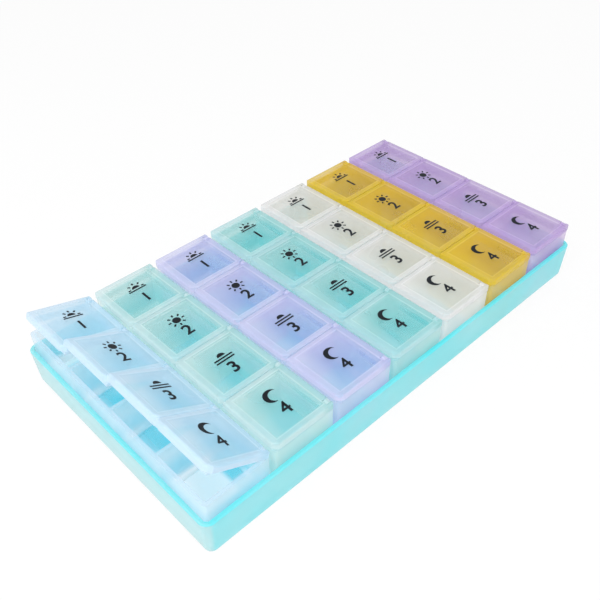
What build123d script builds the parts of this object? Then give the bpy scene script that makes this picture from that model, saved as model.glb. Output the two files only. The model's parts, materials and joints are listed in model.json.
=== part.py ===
from build123d import *

import os
from math import cos, radians, tan

# A weekly pill box: an open tray that carries seven lift-out strips, one for each day.
# Each strip has four compartments in a row, each under its own hinged lid that snaps shut.
# Millimetres. X runs along the seven strips, Y along one strip, Z up from the tray's
# underside, and the origin is the middle of that underside.

# Counts
DAYS = 7
DOSES = 4

# Lids: each is a shallow cap as wide as the box under it, with a ring that drops inside
lid_width = 29.0
dose_pitch = 28.6
lid_gap = 0.5
lid_plate = 1.4
lid_edge_depth = 2.8
lid_top_edge_radius = 0.8
lid_side_edge_chamfer = 0.4
lid_corner_chamfer = 1.0
finger_cut = 2.2
ring_wall = 0.9
ring_depth = 1.5
ring_clearance = 0.3
lid_seat_gap = 0.3

# Hinges: each lid's round edge has two stub pins that snap into ears on the strip.
# There are 56 pins in 35 ears, so pins and holes are drawn eight-sided, with few faces.
hinge_edge_radius = 1.4
hinge_edge_chamfer = 0.8
hinge_side_gap = 0.3
hinge_relief = 0.3
pin_radius = 0.7
pin_clearance = 0.08
pin_sides = 8
pin_engaged = 0.7
ear_half_width = 1.2
ear_thickness = 1.8
ear_end_cover = 1.5
ear_sink = 0.9
ear_head_chamfer = 0.7

# Strips
strip_height = 24.5
strip_wall = 1.5
strip_floor = 1.5
strip_inset = 0.1
divider_wall = 1.5
divider_drop = 0.6
strip_corner_radius = 1.5
strip_bottom_chamfer = 0.8
compartment_foot_chamfer = 3.0

# Tray
strip_gap = 2.1
tray_end_clearance = 0.5
tray_side_clearance = 0.4
tray_wall = 1.7
tray_floor = 2.0
tray_height = 18.5
tray_draft = 3.0
tray_inner_draft = 1.0
tray_foot_corner_radius = 3.0
tray_inner_corner_chamfer = 1.0
tray_bottom_radius = 2.2
rim_chamfer = 0.6
bar_height = 2.2
bar_length = 70.0
bar_clearance = 0.35
bar_top_chamfer = 0.5

# How far the first day's four lids stand open at rest, in degrees, far end first
open_lid_angles = [16.0, 25.0, 30.0, 30.0]

# Sizes that follow from the ones above
strip_length = DOSES * dose_pitch
box_width = lid_width - 2 * strip_inset
box_length = strip_length - 2 * strip_inset
strip_pitch = lid_width + strip_gap
strip_top = tray_floor + strip_height
compartment_floor = tray_floor + strip_floor
edge_bottom = strip_top + lid_seat_gap
lid_top = edge_bottom + lid_edge_depth
plate_bottom = lid_top - lid_plate
ring_bottom = strip_top - ring_depth
hinge_x = lid_width / 2 - hinge_edge_radius
hinge_z = lid_top - hinge_edge_radius
hinge_relief_x = hinge_x - hinge_edge_radius - hinge_relief
tray_inner_length = (DAYS - 1) * strip_pitch + lid_width + 2 * tray_end_clearance
tray_inner_width = strip_length + 2 * tray_side_clearance
tray_length = tray_inner_length + 2 * tray_wall
tray_width = tray_inner_width + 2 * tray_wall


def day_x(day):
    """Middle of a day's strip along X, days counted from 0."""
    return (day - (DAYS - 1) / 2) * strip_pitch


def dose_y(dose):
    """Middle of a dose's place along Y, counted from 0 at the far end."""
    return ((DOSES - 1) / 2 - dose) * dose_pitch


def end_of_strip(dose, side):
    """True where the side (-1 near, +1 far) of this dose is an end of the strip."""
    return (dose == 0 and side > 0) or (dose == DOSES - 1 and side < 0)


def block(x0, x1, y0, y1, z0, z1):
    """A plain block between two corners."""
    size = Box(x1 - x0, y1 - y0, z1 - z0, align=(Align.MIN, Align.MIN, Align.MIN))
    return Pos(x0, y0, z0) * size


def along_hinge(profile, y0, y1):
    """A profile drawn about the hinge line, extruded from one Y to another."""
    start = Plane(origin=(hinge_x, y0, hinge_z), x_dir=(1, 0, 0), z_dir=(0, -1, 0))
    return extrude(start * profile, amount=y0 - y1)


def ear_reach(number):
    """The Y ends of a hinge ear, numbered from 0 at the near end of the strip."""
    end_inset = ear_end_cover + hinge_side_gap
    if number == 0:
        low = -strip_length / 2 + end_inset
    elif number == DOSES:
        low = strip_length / 2 - end_inset - ear_thickness
    else:
        low = -strip_length / 2 + number * dose_pitch - ear_thickness / 2
    return low, low + ear_thickness


def row_reach(dose, at_end, between):
    """The Y ends of something in a dose's place: one inset from the strip's ends, one elsewhere."""
    reach = []
    for side in (-1, 1):
        if end_of_strip(dose, side):
            reach.append(side * (strip_length / 2 - at_end))
        else:
            reach.append(dose_y(dose) + side * (dose_pitch / 2 - between))
    return reach


def lid_block(dose):
    """A lid's outside, with its edges eased and its near corner cut off."""
    near, far = row_reach(dose, 0, lid_gap / 2)
    half = lid_width / 2
    plain = block(-half, half, near, far, edge_bottom, lid_top)
    sides = plain.edges().filter_by(Axis.Y)
    shell = fillet(sides.sort_by_distance((-half, 0, lid_top))[0], lid_top_edge_radius)
    nose = shell.edges().filter_by(Axis.Y)
    shell = fillet(nose.sort_by_distance((half, 0, lid_top))[0], hinge_edge_radius)
    heel = shell.edges().filter_by(Axis.Y)
    shell = chamfer(heel.sort_by_distance((half, 0, edge_bottom))[0], hinge_edge_chamfer)

    # The strip's ends are round, with blunt corners; edges between two lids have a small bevel
    ends = plain
    plan = plain
    for side, y in ((-1, near), (1, far)):
        edge = ends.edges().filter_by(Axis.X).sort_by_distance((0, y, lid_top))[0]
        if end_of_strip(dose, side):
            ends = fillet(edge, lid_top_edge_radius)
            uprights = plan.edges().filter_by(Axis.Z)
            corners = [uprights.sort_by_distance((x, y, lid_top))[0] for x in (-half, half)]
            plan = chamfer(corners, lid_corner_chamfer)
        else:
            ends = chamfer(edge, lid_side_edge_chamfer)
    shell = shell & ends & plan

    # The corner cut for a fingertip, round on top like the free side
    reach = lid_width + dose_pitch
    cut = block(0, reach, -reach, reach, edge_bottom, lid_top)
    cut_edge = cut.edges().filter_by(Axis.Y).sort_by_distance((0, 0, lid_top))[0]
    cut = fillet(cut_edge, lid_top_edge_radius)
    return shell & Pos(-half + finger_cut / 2, near + finger_cut / 2, 0) * Rot(0, 0, 45) * cut


def mouth_block(dose, inset, low_z, high_z):
    """A block in the mouth of a compartment, clear of its walls and of the hinge."""
    end_inset = (strip_length - box_length) / 2 + strip_wall
    near, far = row_reach(dose, end_inset + inset, divider_wall / 2 + inset)
    free_x = -box_width / 2 + strip_wall + inset
    hinge_side_x = hinge_relief_x + ring_clearance - inset
    return block(free_x, hinge_side_x, near, far, low_z, high_z)


def closed_lid(dose):
    """A lid at its closed place over a strip that stands at X = 0."""
    ring = mouth_block(dose, ring_clearance, ring_bottom, plate_bottom)
    shell = lid_block(dose) + ring
    shell -= mouth_block(dose, ring_clearance + ring_wall, ring_bottom, plate_bottom)

    # Room for the ear at each end of the hinge, open to the side except at the strip's ends
    near, far = row_reach(dose, ear_end_cover, 0)
    edge_near = ear_reach(DOSES - 1 - dose)[1] + hinge_side_gap
    edge_far = ear_reach(DOSES - dose)[0] - hinge_side_gap
    shell -= block(hinge_relief_x, lid_width, near, edge_near, edge_bottom, lid_top)
    shell -= block(hinge_relief_x, lid_width, edge_far, far, edge_bottom, lid_top)
    pin_reach = hinge_side_gap + pin_engaged
    return shell + along_hinge(eight_sided(pin_radius), edge_near - pin_reach, edge_far + pin_reach)


def eight_sided(inner_radius):
    """An eight-sided figure round a circle, with flats on top and at the sides."""
    flats = RegularPolygon(inner_radius, pin_sides, major_radius=False)
    return Rot(0, 0, 180 / pin_sides) * flats


def compartment(dose):
    """The space of one compartment, with a sloping foot at its free side to slide pills up."""
    free_x = -box_width / 2 + strip_wall
    end_inset = (strip_length - box_length) / 2 + strip_wall
    near, far = row_reach(dose, end_inset, divider_wall / 2)
    space = block(free_x, -free_x, near, far, compartment_floor, strip_top)
    foot = space.edges().filter_by(Axis.Y).sort_by_distance((free_x, dose_y(dose), compartment_floor))[0]
    return chamfer(foot, compartment_foot_chamfer)


def strip():
    """One day's strip of compartments, standing at X = 0."""
    body = block(-box_width / 2, box_width / 2, -box_length / 2, box_length / 2, tray_floor, strip_top)
    body = chamfer(body.edges().group_by(Axis.Z)[0], strip_bottom_chamfer)
    body &= extrude(RectangleRounded(box_width, box_length, strip_corner_radius), amount=strip_top)
    for dose in range(DOSES):
        body -= compartment(dose)

    # The dividers stop short of the lids
    inside_x = box_width / 2 - strip_wall
    inside_y = box_length / 2 - strip_wall
    body -= block(-inside_x, inside_x, -inside_y, inside_y, strip_top - divider_drop, strip_top)

    # The ears stand on the hinge wall
    ear_x = hinge_x - ear_half_width
    ear_foot = strip_top - ear_sink
    for number in range(DOSES + 1):
        near, far = ear_reach(number)
        ear = block(ear_x, hinge_x + ear_half_width, near, far, ear_foot, hinge_z + ear_half_width)
        head = ear.edges().filter_by(Axis.Y).group_by(Axis.Z)[-1]
        body += chamfer(head, ear_head_chamfer)
    holes = eight_sided(pin_radius / cos(radians(180 / pin_sides)) + pin_clearance)
    return body - along_hinge(holes, -strip_length / 2, strip_length / 2)


def drafted_block(length, width, height, draft, ease, corner):
    """A block that widens upwards: its length and width are those of its top, its corner its foot's."""
    narrowing = height * tan(radians(draft))
    foot = Rectangle(length - 2 * narrowing, width - 2 * narrowing)
    return extrude(ease(foot.vertices(), corner), amount=height, taper=-draft)


def tray():
    """The open tray, with low bars on its floor that keep the strips apart."""
    body = drafted_block(tray_length, tray_width, tray_height, tray_draft, fillet, tray_foot_corner_radius)
    body = fillet(body.edges().group_by(Axis.Z)[0], tray_bottom_radius)
    depth = tray_height - tray_floor
    body -= Pos(0, 0, tray_floor) * drafted_block(
        tray_inner_length, tray_inner_width, depth, tray_inner_draft, chamfer, tray_inner_corner_chamfer
    )
    rim = body.faces().sort_by(Axis.Z)[-1]
    body = chamfer(rim.outer_wire().edges(), rim_chamfer)

    bar_width = strip_pitch - box_width - 2 * bar_clearance
    bar = extrude(Rectangle(bar_width, bar_length), amount=bar_height)
    bar = chamfer(bar.edges().group_by(Axis.Z)[-1], bar_top_chamfer)
    for gap in range(DAYS - 1):
        x = (day_x(gap) + day_x(gap + 1)) / 2
        body += Pos(x, 0, tray_floor) * bar
    return body


def opened(lid, angle):
    """A lid turned about its hinge, up from its closed place."""
    hinge = Pos(hinge_x, 0, hinge_z)
    return hinge * Rot(0, angle, 0) * hinge.inverse() * lid


os.makedirs("parts", exist_ok=True)
export_step(tray(), "parts/tray.step")
one_strip = strip()
lids = [closed_lid(dose) for dose in range(DOSES)]
for day in range(DAYS):
    place = Pos(day_x(day), 0, 0)
    export_step(place * one_strip, f"parts/strip_{day + 1}.step")
    for dose in range(DOSES):
        angle = open_lid_angles[dose] if day == 0 else 0
        lid = opened(lids[dose], angle)
        export_step(place * lid, f"parts/lid_{day + 1}_{dose + 1}.step")
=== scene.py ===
import json
from math import atan2, cos, radians, sin, sqrt, tau

import bpy
from mathutils import Matrix, Vector


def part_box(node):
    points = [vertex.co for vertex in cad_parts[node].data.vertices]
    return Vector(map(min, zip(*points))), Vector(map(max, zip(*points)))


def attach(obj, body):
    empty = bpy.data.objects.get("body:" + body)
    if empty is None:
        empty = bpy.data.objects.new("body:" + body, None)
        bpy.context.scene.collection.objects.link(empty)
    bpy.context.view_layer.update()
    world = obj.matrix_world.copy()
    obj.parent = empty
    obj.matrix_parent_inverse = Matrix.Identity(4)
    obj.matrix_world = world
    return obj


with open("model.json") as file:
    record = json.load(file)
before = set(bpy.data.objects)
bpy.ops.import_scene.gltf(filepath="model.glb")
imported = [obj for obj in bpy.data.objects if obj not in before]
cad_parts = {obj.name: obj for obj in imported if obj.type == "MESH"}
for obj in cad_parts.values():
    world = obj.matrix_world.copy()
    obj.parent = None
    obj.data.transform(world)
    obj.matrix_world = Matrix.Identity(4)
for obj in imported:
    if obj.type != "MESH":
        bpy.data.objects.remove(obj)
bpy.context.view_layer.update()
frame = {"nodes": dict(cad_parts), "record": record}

# The tray: one open shell of clear turquoise polypropylene, injection moulded with a
# satin skin. Its thick floor shows the plastic's deep colour and its thin walls a pale one.


def soft_step(tree, source, start, end):
    """A number that rises smoothly from 0 to 1 while the source goes from start to end."""
    node = tree.nodes.new("ShaderNodeMapRange")
    node.interpolation_type = "SMOOTHSTEP"
    node.inputs["From Min"].default_value = start
    node.inputs["From Max"].default_value = end
    tree.links.new(source, node.inputs["Value"])
    return node.outputs["Result"]


def maths(tree, operation, *values):
    """The result of a Math node, whose values are numbers or sockets."""
    node = tree.nodes.new("ShaderNodeMath")
    node.operation = operation
    for socket, value in zip(node.inputs, values):
        if isinstance(value, bpy.types.NodeSocket):
            tree.links.new(value, socket)
        else:
            socket.default_value = value
    return node.outputs[0]


def linear(colour):
    """A colour read off a screen, 0 to 255 on the sRGB curve, as Blender mixes it."""
    parts = [value / 255 for value in colour]
    mixed = [v / 12.92 if v <= 0.04045 else ((v + 0.055) / 1.055) ** 2.4 for v in parts]
    return (*mixed, 1)


def mixed_colour(tree, share, first, second):
    """Two colours mixed by a share. Each is a socket, or a colour as it is read off a screen."""
    node = tree.nodes.new("ShaderNodeMix")
    node.data_type = "RGBA"
    tree.links.new(share, node.inputs["Factor"])
    for name, colour in (("A", first), ("B", second)):
        if isinstance(colour, bpy.types.NodeSocket):
            tree.links.new(colour, node.inputs[name])
        else:
            node.inputs[name].default_value = linear(colour)
    return node.outputs["Result"]


def place_in_piece(tree):
    """The X, Y and Z of a point in its piece's own coordinates, as three sockets."""
    node = tree.nodes.new("ShaderNodeSeparateXYZ")
    tree.links.new(tree.nodes.new("ShaderNodeTexCoord").outputs["Object"], node.inputs[0])
    return node.outputs["X"], node.outputs["Y"], node.outputs["Z"]


def noise(tree, scale):
    """A soft noise in the piece's own coordinates. The scale is its spots to the metre."""
    node = tree.nodes.new("ShaderNodeTexNoise")
    node.inputs["Scale"].default_value = scale
    node.inputs["Detail"].default_value = 1.0
    tree.links.new(tree.nodes.new("ShaderNodeTexCoord").outputs["Object"], node.inputs["Vector"])
    return node.outputs["Fac"]


def new_group(name, inputs, outputs):
    """An empty shader node group with named sockets, and its input and output nodes."""
    group = bpy.data.node_groups.new(name, "ShaderNodeTree")
    kinds = {"colour": "NodeSocketColor", "number": "NodeSocketFloat"}
    for in_out, sockets in (("INPUT", inputs), ("OUTPUT", outputs)):
        for socket, kind in sockets.items():
            group.interface.new_socket(socket, in_out=in_out, socket_type=kinds[kind])
    given = group.nodes.new("NodeGroupInput")
    made = group.nodes.new("NodeGroupOutput")
    return group, given, made


def moulded_skin():
    """The skin of a moulded plastic: slow flow clouds in the colour, and a fine satin grain."""
    cloud_scale = 48.0
    cloud_rise = (0.3, 0.75)
    deeper_saturation = 1.25
    deeper_value = 0.97
    haze_least = 0.88
    haze_gain = 0.17
    rough_range = 0.16
    grain_scale = 900.0
    group, given, made = new_group(
        "moulded_skin",
        {"Colour": "colour", "Cloud Amount": "number", "Gloss": "number"},
        {"Colour": "colour", "Roughness": "number", "Grain": "number", "Haze": "number"},
    )

    # Slow clouds, about two centimetres across, where the plastic flowed into the mould
    clouds = noise(group, cloud_scale)
    cloudy = soft_step(group, clouds, *cloud_rise)
    share = maths(group, "MULTIPLY", cloudy, given.outputs["Cloud Amount"])
    deeper = group.nodes.new("ShaderNodeHueSaturation")
    deeper.inputs["Saturation"].default_value = deeper_saturation
    deeper.inputs["Value"].default_value = deeper_value
    group.links.new(given.outputs["Colour"], deeper.inputs["Color"])
    colour = mixed_colour(group, share, given.outputs["Colour"], deeper.outputs["Color"])
    group.links.new(colour, made.inputs["Colour"])
    haze = maths(group, "MULTIPLY_ADD", cloudy, haze_gain, haze_least)
    group.links.new(haze, made.inputs["Haze"])
    change = maths(group, "MULTIPLY_ADD", clouds, rough_range, -rough_range / 2)
    rough = maths(group, "ADD", given.outputs["Gloss"], change)
    group.links.new(rough, made.inputs["Roughness"])

    # Satin grain of the mould, about a millimetre across
    group.links.new(noise(group, grain_scale), made.inputs["Grain"])
    return group


def moulded_plastic(name, rough, cloud_amount, pattern):
    """See-through moulded plastic. pattern(tree) gives the sockets of its colour and alpha.

    Most of the light that the plastic spreads goes on through it, so it holds back less
    light from what lies behind it than it hides from the eye.
    """
    light_share = 0.85
    grain_strength = 0.05
    grain_depth = 0.00005
    polypropylene_ior = 1.49
    material = bpy.data.materials.new(name)
    material.use_nodes = True
    tree = material.node_tree
    shader = tree.nodes["Principled BSDF"]
    colour, alpha = pattern(tree)
    skin = tree.nodes.new("ShaderNodeGroup")
    skin.node_tree = satin_skin
    skin.inputs["Cloud Amount"].default_value = cloud_amount
    skin.inputs["Gloss"].default_value = rough
    tree.links.new(colour, skin.inputs["Colour"])
    tree.links.new(skin.outputs["Colour"], shader.inputs["Base Color"])
    tree.links.new(skin.outputs["Roughness"], shader.inputs["Roughness"])
    bump = tree.nodes.new("ShaderNodeBump")
    bump.inputs["Strength"].default_value = grain_strength
    bump.inputs["Distance"].default_value = grain_depth
    tree.links.new(skin.outputs["Grain"], bump.inputs["Height"])
    tree.links.new(bump.outputs["Normal"], shader.inputs["Normal"])
    shader.inputs["IOR"].default_value = polypropylene_ior

    ray = tree.nodes.new("ShaderNodeLightPath")
    lighting = maths(tree, "MAXIMUM", ray.outputs["Is Shadow Ray"], ray.outputs["Is Diffuse Ray"])
    kept = maths(tree, "SUBTRACT", 1.0, maths(tree, "MULTIPLY", lighting, light_share))
    hazy = maths(tree, "MULTIPLY", alpha, skin.outputs["Haze"])
    tree.links.new(maths(tree, "MULTIPLY", hazy, kept), shader.inputs["Alpha"])
    return material


def dress(node, material):
    """Puts a material on a CAD node."""
    mesh = frame["nodes"][node].data
    mesh.materials.clear()
    mesh.materials.append(material)


def tray_pattern(tree):
    """Deep colour on the tray's floor, pale on its walls, and light gathered in the rim."""
    # Metres. A pair says where a mask starts and where it is full.
    wall = 0.0019
    rim_start = 0.0011
    rim_end = 0.0004
    wall_colour = (146, 226, 232)
    # painted light: the free end wall, lit by the lamp on the left, is painted paler
    painted_lit_end_colour = (180, 220, 222)
    rim_colour = (112, 228, 236)
    floor_colour = (50, 200, 224)
    wall_alpha = 0.8
    free_end_loss = 0.15
    floor_gain = 0.15
    over_lower_face = (0.0008, 0.0012)
    under_strips = (0.0026, 0.0022)
    at_lower_face = (0.0008, 0.0004)

    low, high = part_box("tray")
    x, y, height = place_in_piece(tree)
    across = maths(tree, "ABSOLUTE", x)
    along = maths(tree, "ABSOLUTE", y)
    inside_x = soft_step(tree, across, high[0] - wall, high[0] - 2 * wall)
    inside_y = soft_step(tree, along, high[1] - wall, high[1] - 2 * wall)
    floor = maths(tree, "MULTIPLY", inside_x, inside_y)
    # Painted light: the end wall on the free side faces the lamp on the left, so it is painted
    # paler, as if lit, and made a little clearer
    painted_lit_end = soft_step(tree, x, low[0] + 2 * wall, low[0] + wall)
    rim = soft_step(tree, height, high[2] - rim_start, high[2] - rim_end)
    colour = mixed_colour(tree, painted_lit_end, wall_colour, painted_lit_end_colour)
    colour = mixed_colour(tree, rim, colour, rim_colour)
    colour = mixed_colour(tree, floor, colour, floor_colour)

    # The strips stand on the floor's upper face, so its lower face alone shows the colour
    rising = soft_step(tree, height, *over_lower_face)
    level = maths(tree, "MULTIPLY", rising, soft_step(tree, height, *under_strips))
    seen = maths(tree, "SUBTRACT", 1.0, maths(tree, "MULTIPLY", floor, level))
    below = maths(tree, "MULTIPLY", floor, soft_step(tree, height, *at_lower_face))
    alpha = maths(tree, "MULTIPLY_ADD", painted_lit_end, -free_end_loss, wall_alpha)
    alpha = maths(tree, "MULTIPLY_ADD", below, floor_gain, alpha)
    return colour, maths(tree, "MULTIPLY", alpha, seen)


satin_skin = moulded_skin()
plastic = moulded_plastic("turquoise_plastic", rough=0.36, cloud_amount=0.5, pattern=tray_pattern)
dress("tray", plastic)

# The seven strips of compartments, one for each day, standing loose in the tray. Each is
# one moulding of see-through polypropylene in its own colour: milky along its sloping foot,
# where a painted glow also brightens it, paler and more opaque on the near part of its floors,
# clearer elsewhere, and painted low down with light bounced up from the tray.

# "walls", "lid" and the last number say how much a strip's walls, lids and the paler patch on its
# near floors hide
# Painted light in these colours: "low" is light bounced up from the tray, painted on a strip's
# lower part, and "foot" is brightened by a painted glow. A lid's "pale" and "deep" panel colours
# carry painted shade from the compartment beneath.
day_colours = {
    "sky": {"wall": (206, 232, 245), "low": (142, 216, 240), "foot": (238, 246, 252),
            "border": (202, 226, 244), "pale": (180, 218, 240), "deep": (164, 212, 238),
            "walls": 0.42, "lid": 0.52, "pale_floor": 1.0},
    "mint": {"wall": (210, 236, 232), "low": (136, 210, 212), "foot": (232, 244, 238),
             "border": (198, 224, 226), "pale": (160, 208, 208), "deep": (132, 202, 206),
             "walls": 0.46, "lid": 0.38, "pale_floor": 0.1},
    "lavender": {"wall": (214, 216, 242), "low": (162, 184, 230), "foot": (234, 234, 248),
                 "border": (206, 206, 238), "pale": (180, 184, 226), "deep": (150, 174, 224),
                 "walls": 0.46, "lid": 0.42, "pale_floor": 0.1},
    "aqua": {"wall": (194, 228, 226), "low": (122, 206, 208), "foot": (226, 242, 240),
             "border": (182, 220, 224), "pale": (144, 204, 204), "deep": (104, 196, 200),
             "walls": 0.46, "lid": 0.4, "pale_floor": 0.1},
    "clear": {"wall": (236, 236, 234), "low": (206, 222, 222), "foot": (246, 248, 246),
              "border": (226, 226, 226), "pale": (212, 212, 206), "deep": (204, 204, 194),
              "walls": 0.48, "lid": 0.48, "pale_floor": 0.1},
    "amber": {"wall": (226, 196, 90), "low": (192, 164, 64), "foot": (238, 206, 30),
              "border": (220, 188, 44), "pale": (212, 172, 18), "deep": (192, 156, 26),
              "walls": 0.54, "lid": 0.54, "pale_floor": 0.1},
    "violet": {"wall": (206, 186, 224), "low": (142, 130, 196), "foot": (214, 192, 232),
               "border": (188, 164, 216), "pale": (174, 150, 200), "deep": (178, 158, 202),
               "walls": 0.5, "lid": 0.5, "pale_floor": 0.1},
}
doses = 4
strip_low, strip_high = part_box("strip_1")
day_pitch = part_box("strip_2")[0][0] - strip_low[0]
dose_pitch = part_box("lid_2_2")[0][1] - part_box("lid_2_3")[0][1]


def box_depth():
    """Masks of a strip: how high up it is, its sloping foot, its floors and its top edges, where a
    highlight is painted.

    Besides these it marks a paler, more opaque patch on the floors, and Resting is the underside.
    """
    # Metres. A pair says where a mask starts and where it is full.
    wall_heights = (0.012, 0.024)
    foot_slope = (0.001, -0.0115)
    corner_start = 0.014
    corner_end = 0.0015
    corner_share = 0.8
    foot_heights = (0.0105, 0.0065)
    floor_heights = (0.0062, 0.0038)
    near_half = (0.019, 0.012)
    near_share = 0.7
    last_compartment = (-0.0284, -0.0290)
    last_foot = (0.0098, 0.0065)
    off_end_wall = (-0.0495, -0.0445)
    highlight_heights = (0.0256, 0.0264)
    underside = (0.0024, 0.0021)
    group, _, made = new_group(
        "box_depth", {},
        {"Height": "number", "Foot": "number", "Floor": "number", "Pale Floor": "number",
         "Painted Edge Highlight": "number", "Resting": "number"},
    )
    x, y, height = place_in_piece(group)
    row_x = maths(group, "WRAP", x, day_pitch / 2, -day_pitch / 2)
    low_down = soft_step(group, height, *foot_heights)
    group.links.new(soft_step(group, height, *wall_heights), made.inputs["Height"])
    group.links.new(soft_step(group, height, *highlight_heights), made.inputs["Painted Edge Highlight"])
    group.links.new(soft_step(group, height, *underside), made.inputs["Resting"])

    # The foot along the free side, and its rise in the corners at the strip's two ends
    slope = soft_step(group, row_x, *foot_slope)
    off_middle = maths(group, "ABSOLUTE", y)
    corner = soft_step(group, off_middle, strip_high[1] - corner_start, strip_high[1] - corner_end)
    thick = maths(group, "MAXIMUM", slope, maths(group, "MULTIPLY", corner, corner_share))
    foot = maths(group, "MULTIPLY", thick, low_down)
    group.links.new(foot, made.inputs["Foot"])
    flat = maths(group, "SUBTRACT", soft_step(group, height, *floor_heights), foot)
    group.links.new(maths(group, "MAXIMUM", flat, 0.0), made.inputs["Floor"])

    # The near half of each compartment's floor, and most of the last compartment's
    row_y = maths(group, "WRAP", y, dose_pitch, 0.0)
    near = maths(group, "MULTIPLY", soft_step(group, row_y, *near_half), near_share)
    last = maths(group, "MULTIPLY", soft_step(group, y, *last_compartment),
                 soft_step(group, row_x, *last_foot))
    pale_floor = maths(group, "MULTIPLY", maths(group, "MAXIMUM", near, last),
                 soft_step(group, y, *off_end_wall))
    group.links.new(maths(group, "MULTIPLY", pale_floor, low_down), made.inputs["Pale Floor"])
    return group


depth_masks = box_depth()


def box_pattern(tones):
    """The colour and alpha of one day's strip."""
    clearing = 0.45
    foot_gain = 0.34
    pale_floor_over_foot = 1.45

    def pattern(tree):
        masks = tree.nodes.new("ShaderNodeGroup")
        masks.node_tree = depth_masks
        pale_floor = maths(tree, "MULTIPLY", masks.outputs["Pale Floor"], tones["pale_floor"])
        # Painted light: low down the strip is painted in the tray's colour, as light bounced up
        # from the tray
        colour = mixed_colour(tree, masks.outputs["Height"], tones["low"], tones["wall"])
        # Painted glow: the milky foot is painted brighter than its shaded place inside the strip
        # would show
        colour = mixed_colour(tree, masks.outputs["Foot"], colour, tones["foot"])
        # The paler, more opaque patch on the floors takes the foot's colour, painted glow and all
        colour = mixed_colour(tree, pale_floor, colour, tones["foot"])
        # Painted highlight: the top edges of the walls take the paler border colour
        colour = mixed_colour(tree, masks.outputs["Painted Edge Highlight"], colour, tones["border"])

        cleared = maths(tree, "MULTIPLY", masks.outputs["Floor"], clearing * tones["walls"])
        alpha = maths(tree, "SUBTRACT", tones["walls"], cleared)
        pale_floor_cover = maths(tree, "MULTIPLY", pale_floor, pale_floor_over_foot)
        thick = maths(tree, "MAXIMUM", masks.outputs["Foot"], pale_floor_cover)
        alpha = maths(tree, "MULTIPLY_ADD", thick, foot_gain, alpha)

        # The underside stays clear, because it lies on the tray's floor
        standing = maths(tree, "SUBTRACT", 1.0, masks.outputs["Resting"])
        return colour, maths(tree, "MULTIPLY", alpha, standing)
    return pattern


for day, (name, tones) in enumerate(day_colours.items(), 1):
    pattern = box_pattern(tones)
    plastic = moulded_plastic(f"{name}_plastic", rough=0.38, cloud_amount=0.4, pattern=pattern)
    dress(f"strip_{day}", plastic)

# The 28 lids, each one moulding of its strip's plastic, snapped into the strip's ears. A
# thick pale border runs round a thinner, clearer panel, with a painted highlight line where
# they meet. The panel is also painted darker with the shade of the compartment beneath,
# and deeper toward its near end, where the tray's floor shows through.
joints = {joint["name"]: joint for joint in frame["record"]["behaviour"]["joints"]}
hinge_x, _, hinge_z = joints["lid_1_1_hinge"]["pos_m"]
hinge_in_row = hinge_x - (strip_low[0] + strip_high[0]) / 2


def lid_places():
    """Masks of a lid, measured from its hinge line so that they hold for an open lid too."""
    # Metres. A pair says where a mask starts and where it is full.
    panel_start = 0.0026
    panel_end = 0.0248
    panel_half_length = 0.0119
    panel_blur = 0.00015
    highlight_fade = (0.0006, 0.0001)
    near_side = (0.012, -0.006)
    near_slant = 0.3
    hinge_side = (0.006, 0.001)
    glow_end_start = 0.014
    glow_end_full = 0.003
    glow_end_off_hinge = (0.006, 0.018)
    glow_end_share = 0.45
    glow_free_side = (0.0165, 0.0245)
    glow_near_half = (0.045, -0.02)
    group, _, made = new_group(
        "lid_places", {},
        {"Panel": "number", "Line": "number", "Near Side": "number", "Hinge Side": "number",
         "Glow": "number"},
    )
    x, y, height = place_in_piece(group)
    row_x = maths(group, "WRAP", x, day_pitch / 2, -day_pitch / 2)
    off_x = maths(group, "SUBTRACT", row_x, hinge_in_row)
    off_z = maths(group, "SUBTRACT", height, hinge_z)
    squares = maths(group, "ADD", maths(group, "MULTIPLY", off_x, off_x),
                    maths(group, "MULTIPLY", off_z, off_z))
    reach = maths(group, "SQRT", squares)
    row_y = maths(group, "WRAP", y, dose_pitch, 0.0)
    off_y = maths(group, "SUBTRACT", row_y, dose_pitch / 2)

    # How far a point lies inside the panel's nearest edge
    from_sides = maths(group, "SUBTRACT", panel_half_length, maths(group, "ABSOLUTE", off_y))
    from_start = maths(group, "SUBTRACT", reach, panel_start)
    from_end = maths(group, "SUBTRACT", panel_end, reach)
    inward = maths(group, "MINIMUM", from_sides, maths(group, "MINIMUM", from_start, from_end))
    group.links.new(soft_step(group, inward, -panel_blur, panel_blur), made.inputs["Panel"])
    # A painted highlight along the panel's edge
    off_line = maths(group, "ABSOLUTE", inward)
    group.links.new(soft_step(group, off_line, *highlight_fade), made.inputs["Line"])
    # Where the panel is painted deeper, toward its near end
    slanted = maths(group, "ADD", off_y, maths(group, "MULTIPLY", reach, near_slant))
    group.links.new(soft_step(group, slanted, *near_side), made.inputs["Near Side"])
    group.links.new(soft_step(group, reach, *hinge_side), made.inputs["Hinge Side"])

    # The milky foot glows through at the strip's ends and along its near half's free side
    off_middle = maths(group, "ABSOLUTE", y)
    at_end = soft_step(group, off_middle, strip_high[1] - glow_end_start,
                       strip_high[1] - glow_end_full)
    at_end = maths(group, "MULTIPLY", at_end, soft_step(group, reach, *glow_end_off_hinge))
    end_glow = maths(group, "MULTIPLY", at_end, glow_end_share)
    side_glow = maths(group, "MULTIPLY", soft_step(group, reach, *glow_free_side),
                      soft_step(group, y, *glow_near_half))
    group.links.new(maths(group, "MAXIMUM", end_glow, side_glow), made.inputs["Glow"])
    return group


lid_masks = lid_places()


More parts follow.
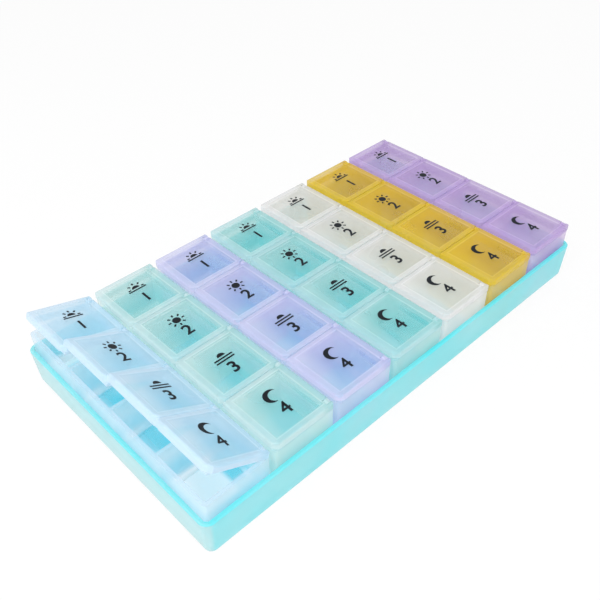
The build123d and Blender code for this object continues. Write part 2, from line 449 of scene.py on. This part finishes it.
def lid_pattern(tones):
    """The colour and alpha of one day's lids."""
    glow_share = 0.4
    painted_highlight_share = 0.45
    border_gain = 0.12
    painted_highlight_alpha = 0.15

    def pattern(tree):
        masks = tree.nodes.new("ShaderNodeGroup")
        masks.node_tree = lid_masks
        # Painted shade: the panel is darker than the border with the shade of the compartment
        # beneath, and deeper toward its near end, where the tray's floor shows through
        panel = mixed_colour(tree, masks.outputs["Near Side"], tones["pale"], tones["deep"])
        glow = maths(tree, "MULTIPLY", masks.outputs["Glow"], glow_share)
        panel = mixed_colour(tree, glow, panel, tones["foot"])
        border = mixed_colour(tree, masks.outputs["Hinge Side"], tones["border"], tones["pale"])
        colour = mixed_colour(tree, masks.outputs["Panel"], border, panel)
        # Painted highlight: a thin line in the paler wall colour, a little more opaque, where
        # border and panel meet
        painted_highlight = maths(tree, "MULTIPLY", masks.outputs["Line"], painted_highlight_share)
        colour = mixed_colour(tree, painted_highlight, colour, tones["wall"])

        thinner = maths(tree, "MULTIPLY", masks.outputs["Panel"], border_gain)
        alpha = maths(tree, "SUBTRACT", tones["lid"] + border_gain, thinner)
        return colour, maths(tree, "MULTIPLY_ADD", painted_highlight, painted_highlight_alpha, alpha)
    return pattern


for day, (name, tones) in enumerate(day_colours.items(), 1):
    pattern = lid_pattern(tones)
    plastic = moulded_plastic(f"{name}_lid_plastic", rough=0.3, cloud_amount=0.35, pattern=pattern)
    for dose in range(1, doses + 1):
        dress(f"lid_{day}_{dose}", plastic)

# The marks: on each lid a number for the dose and a plain sign for its time of day, pad
# printed in black ink. A sun rises, stands high and sets, and a moon stands for the night.
# A mark is drawn about the origin in millimetres and then laid on its lid.
millimetre = 0.001
ink_film = 0.03
weld_distance = 0.001
number_height = 5.6
number_height_to_size = 0.69
number_weight = 0.19
line_offset = 3.9
sun_radius = 1.8
ray_reach = (2.5, 3.8)
ray_width = 0.76
low_sun_rays = 5
high_sun_rays = 8
horizon_half = 4.3
moon_radius = 3.3
moon_tilt = radians(-25)
bite_radius = 2.7
bite_offset = 1.45
circle_sides = 32


def ink_material():
    """Black printing ink, a little uneven where the pad pressed less."""
    speckle_scale = 900.0
    speckle_rise = (0.5, 0.8)
    full_ink = (6, 12, 20)
    thin_ink = (26, 36, 48)
    least_rough = 0.5
    rough_gain = 0.2
    shine = 0.2
    material = bpy.data.materials.new("black_ink")
    material.use_nodes = True
    tree = material.node_tree
    shader = tree.nodes["Principled BSDF"]
    thin = soft_step(tree, noise(tree, speckle_scale), *speckle_rise)
    tree.links.new(mixed_colour(tree, thin, full_ink, thin_ink), shader.inputs["Base Color"])
    rough = maths(tree, "MULTIPLY_ADD", thin, rough_gain, least_rough)
    tree.links.new(rough, shader.inputs["Roughness"])
    shader.inputs["Specular IOR Level"].default_value = shine
    return material


def ink_shape(corners):
    """A flat sheet of ink with the given outline."""
    bpy.ops.mesh.primitive_circle_add(vertices=len(corners), radius=1.0, fill_type="NGON")
    piece = bpy.context.object
    for vertex, (x, y) in zip(piece.data.vertices, corners):
        vertex.co = (x, y, 0.0)
    return piece


def bar(left, right, low, high):
    """A straight bar of ink."""
    return ink_shape([(left, low), (right, low), (right, high), (left, high)])


def arc(radius, start, end, steps, centre_x=0.0):
    """Points along an arc, from one share of a turn to another."""
    turns = [tau * (start + (end - start) * step / steps) for step in range(steps + 1)]
    return [(centre_x + radius * cos(turn), radius * sin(turn)) for turn in turns]


def sun_rays(last, count):
    """Short bars of ink round a sun, from its right side to a share of a turn."""
    rays = [bar(*ray_reach, -ray_width / 2, ray_width / 2) for number in range(count)]
    for number, ray in enumerate(rays):
        ray.data.transform(Matrix.Rotation(tau * last * number / (count - 1), 4, "Z"))
    return rays


def low_sun(horizons):
    """A half sun on one or two horizon lines."""
    levels = [ray_width * (1 + 2 * number) for number in range(horizons)]
    lines = [bar(-horizon_half, horizon_half, -level - ray_width, -level) for level in levels]
    half_disc = ink_shape(arc(sun_radius, start=0, end=0.5, steps=circle_sides // 2))
    return [half_disc] + lines


def high_sun():
    """A whole sun with rays all round."""
    outline = arc(sun_radius, start=0, end=1 - 1 / circle_sides, steps=circle_sides - 1)
    disc = ink_shape(outline)
    return [disc] + sun_rays(last=1 - 1 / high_sun_rays, count=high_sun_rays)


def crescent():
    """A moon between two arcs that meet at its horns, made of a strip of four-sided faces."""
    horn_x = (moon_radius ** 2 - bite_radius ** 2 + bite_offset ** 2) / (2 * bite_offset)
    horn_y = sqrt(moon_radius ** 2 - horn_x ** 2)
    outer_turn = atan2(horn_y, horn_x) / tau
    inner_turn = atan2(horn_y, horn_x - bite_offset) / tau
    outer = arc(moon_radius, outer_turn, 1 - outer_turn, circle_sides)
    inner = arc(bite_radius, inner_turn, 1 - inner_turn, circle_sides, bite_offset)
    bpy.ops.mesh.primitive_grid_add(x_subdivisions=circle_sides, y_subdivisions=1, size=2.0)
    moon = bpy.context.object
    rows = sorted(moon.data.vertices, key=lambda vertex: (vertex.co.y, vertex.co.x))
    for vertex, (x, y) in zip(rows, outer + inner):
        vertex.co = (x, y, 0.0)
    moon.data.transform(Matrix.Rotation(moon_tilt, 4, "Z"))
    return [moon]


def day_sign(dose):
    """The sign of a dose's time of day, about the origin, as a list of flat pieces."""
    if dose == 1:
        return low_sun(horizons=1) + sun_rays(last=0.5, count=low_sun_rays)
    if dose == 2:
        return high_sun()
    if dose == 3:
        return low_sun(horizons=2)
    return crescent()


def select(pieces, active):
    """Selects these pieces alone, with one of them active."""
    bpy.ops.object.select_all(action="DESELECT")
    for piece in pieces:
        piece.select_set(True)
    bpy.context.view_layer.objects.active = active


def thickened(piece):
    """Gives a flat piece of ink its thickness."""
    select([piece], piece)
    bpy.ops.object.mode_set(mode="EDIT")
    bpy.ops.mesh.select_all(action="SELECT")
    bpy.ops.mesh.remove_doubles(threshold=weld_distance)
    bpy.ops.mesh.extrude_region_move(TRANSFORM_OT_translate={"value": (0, 0, ink_film)})
    bpy.ops.mesh.select_all(action="SELECT")
    bpy.ops.mesh.normals_make_consistent(inside=False)
    bpy.ops.object.mode_set(mode="OBJECT")
    return piece


def printed_number(dose):
    """The dose's number, with its strokes widened outwards all round."""
    bpy.ops.object.text_add()
    number = bpy.context.object
    number.data.body = str(dose)
    number.data.size = number_height / number_height_to_size
    number.data.align_x = "CENTER"
    number.data.align_y = "CENTER"
    bpy.ops.object.convert(target="MESH")
    number = thickened(bpy.context.object)
    outward = [vertex.normal.xy.normalized() for vertex in number.data.vertices]
    for vertex, side in zip(number.data.vertices, outward):
        vertex.co.xy += side * number_weight
    return number


def dose_mark(dose):
    """A sign over a number, as one thin piece of ink that lies on Z = 0."""
    sign = [thickened(piece) for piece in day_sign(dose)]
    for piece in sign:
        piece.data.transform(Matrix.Translation((0, line_offset, 0)))
    number = printed_number(dose)
    number.data.transform(Matrix.Translation((0, -line_offset, 0)))
    select(sign + [number], number)
    bpy.ops.object.join()
    number.data.materials.clear()
    number.data.materials.append(ink)
    return number


ink = ink_material()
lid_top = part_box("lid_2_2")[1][2]
for dose in range(1, doses + 1):
    first_mark = dose_mark(dose)
    for day in range(1, len(day_colours) + 1):
        mark = first_mark.copy()
        mark.data = first_mark.data.copy()
        mark.name = f"mark_{day}_{dose}"
        bpy.context.collection.objects.link(mark)
        strip_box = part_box(f"strip_{day}")
        joint = joints[f"lid_{day}_{dose}_hinge"]
        pivot = Vector(joint["pos_m"])
        middle = Vector(((strip_box[0][0] + strip_box[1][0]) / 2, pivot.y, lid_top))
        opened = Matrix.Rotation(radians(-joint["range_deg"][0]), 4, "Y")
        lay_on = Matrix.Translation(pivot) @ opened @ Matrix.Translation(middle - pivot)
        mark.data.transform(lay_on @ Matrix.Scale(millimetre, 4))
        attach(mark, f"lid_{day}_{dose}")
    bpy.data.objects.remove(first_mark)

# The set: a plain white floor a hair under the tray, a soft lamp high on the left and a
# weaker one on the right, in an even white room. The floor looks white to the camera and
# keeps the shadow.
floor_gap = 0.0003
floor_size = 6.0
floor_tone = 0.93
floor_rough = 0.9
floor_shine = 0.1
whitening = 0.8
room_light = 0.72
lamp_target = Vector((0, 0, 0.01))
bpy.ops.mesh.primitive_plane_add(size=floor_size, location=(0, 0, -floor_gap))
floor = bpy.context.object
floor.name = "floor"


def looked_at(tree):
    """1 for a ray that comes from the camera, straight or by a mirror or glass, otherwise 0."""
    ray = tree.nodes.new("ShaderNodeLightPath")
    by_glass = maths(tree, "MAXIMUM", ray.outputs["Is Glossy Ray"],
                     ray.outputs["Is Transmission Ray"])
    return maths(tree, "MAXIMUM", ray.outputs["Is Camera Ray"], by_glass)


paint = bpy.data.materials.new("floor_paint")
paint.use_nodes = True
tree = paint.node_tree
shader = tree.nodes["Principled BSDF"]
shader.inputs["Base Color"].default_value = (floor_tone, floor_tone, floor_tone, 1)
shader.inputs["Roughness"].default_value = floor_rough
shader.inputs["Specular IOR Level"].default_value = floor_shine
white = tree.nodes.new("ShaderNodeEmission")
white.inputs["Strength"].default_value = 1.0
blend = tree.nodes.new("ShaderNodeMixShader")
tree.links.new(maths(tree, "MULTIPLY", looked_at(tree), whitening), blend.inputs["Fac"])
tree.links.new(shader.outputs["BSDF"], blend.inputs[1])
tree.links.new(white.outputs["Emission"], blend.inputs[2])
tree.links.new(blend.outputs["Shader"], tree.nodes["Material Output"].inputs["Surface"])
floor.data.materials.append(paint)

room = bpy.data.worlds.new("room")
room.use_nodes = True
bpy.context.scene.world = room
tree = room.node_tree
air = tree.nodes["Background"]
air.inputs["Color"].default_value = (1, 1, 1, 1)
strength = maths(tree, "MULTIPLY_ADD", looked_at(tree), 1 - room_light, room_light)
tree.links.new(strength, air.inputs["Strength"])


def lamp(name, place, power, size):
    """A soft square lamp that faces the middle of the box."""
    light = bpy.data.lights.new(name, "AREA")
    light.energy = power
    light.size = size
    holder = bpy.data.objects.new(name, light)
    bpy.context.collection.objects.link(holder)
    holder.location = place
    aim = lamp_target - Vector(place)
    holder.rotation_euler = aim.to_track_quat("-Z", "Y").to_euler()


lamp("key_lamp", place=(-0.75, -0.2, 0.8), power=6.0, size=0.6)
lamp("fill_lamp", place=(0.5, -0.9, 0.7), power=2.0, size=0.8)

# The camera stands over the box's near left corner, at the height of a person at a table.
camera_place = (-0.178597, -0.181607, 0.234507)
camera_turn = radians(-42.72)
camera_pitch = radians(49.08)
camera_roll = radians(-1.39)
camera_lens = 45.288
camera_sensor = 36.0
camera_near = 0.01
layers_seen_through = 40
camera = bpy.data.objects.new("camera", bpy.data.cameras.new("camera"))
bpy.context.collection.objects.link(camera)
camera.data.sensor_width = camera_sensor
camera.data.lens = camera_lens
camera.data.clip_start = camera_near
camera.rotation_mode = "QUATERNION"
camera.location = camera_place
turned = Matrix.Rotation(camera_turn, 3, "Z") @ Matrix.Rotation(camera_pitch, 3, "X")
camera.rotation_quaternion = (turned @ Matrix.Rotation(camera_roll, 3, "Z")).to_quaternion()
bpy.context.scene.camera = camera
bpy.context.scene.view_settings.view_transform = "Standard"
bpy.context.scene.cycles.transparent_max_bounces = layers_seen_through
